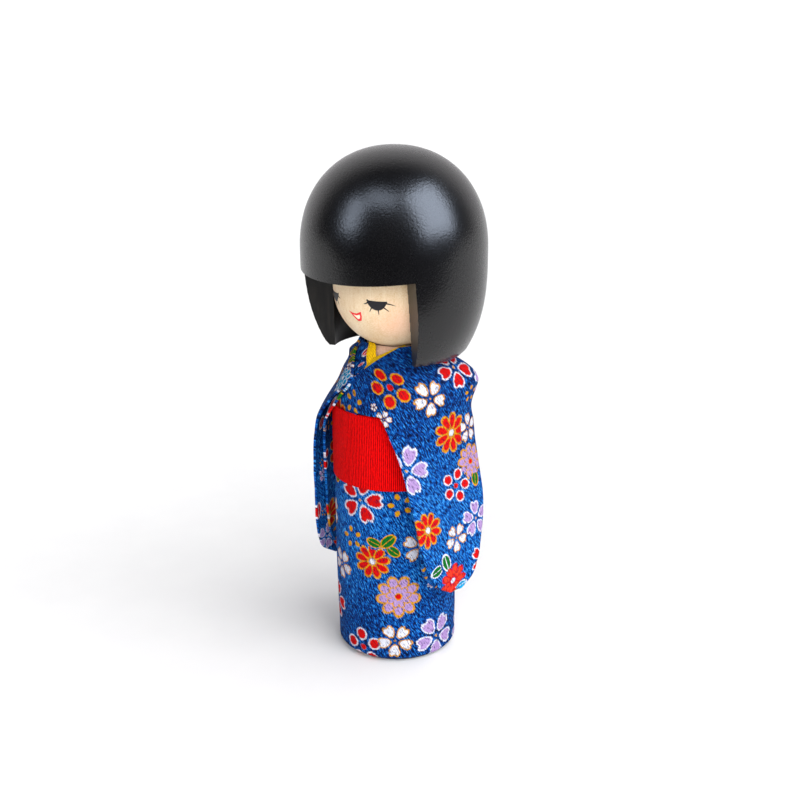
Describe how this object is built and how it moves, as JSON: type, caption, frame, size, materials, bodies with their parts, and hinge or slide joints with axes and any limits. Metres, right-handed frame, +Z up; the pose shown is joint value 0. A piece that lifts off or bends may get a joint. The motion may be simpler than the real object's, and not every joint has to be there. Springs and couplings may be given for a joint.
{
  "type": "kokeshi doll",
  "caption": "Turned wooden doll with a round face, a lacquered bob of hair that turns with the head, and a glued cloth kimono with long sleeves and a wide sash.",
  "frame": {"origin": "centre of the base, on the surface that the doll stands on", "axes": "+Z up along the turned axis, -Y the way the doll faces, +X the doll's left hand side"},
  "size_m": [0.0524, 0.0524, 0.149],
  "materials": {
    "pale_wood": "bare pale close-grained wood, lightly waxed, with a painted face",
    "core_wood": "bare turned wood",
    "lacquer": "turned wood in satin black lacquer",
    "print_cloth": "blue crepe printed with small blossoms",
    "red_cloth": "red cloth with a fine upright rib",
    "yellow_cloth": "yellow twill",
    "base_felt": "thin dark felt"
  },
  "bodies": {
    "body": {"body_core": "core_wood", "base_disc": "base_felt", "kimono_skirt": "print_cloth", "bodice_left": "print_cloth", "bodice_right": "print_cloth", "bodice_back": "print_cloth", "undercollar_left": "yellow_cloth", "undercollar_right": "yellow_cloth", "obi_band": "red_cloth", "obi_knot": "red_cloth", "obi_tail": "red_cloth", "sleeve_left": "print_cloth", "sleeve_right": "print_cloth"},
    "head": {"head_ball": "pale_wood", "hair_cap": "lacquer", "neck_dowel": "core_wood"}
  },
  "joints": [
    {"name": "head_turn", "type": "hinge", "parent": "body", "child": "head", "pos_m": [0, 0, 0.092], "axis": [0, 0, 1], "continuous": true}
  ]
}
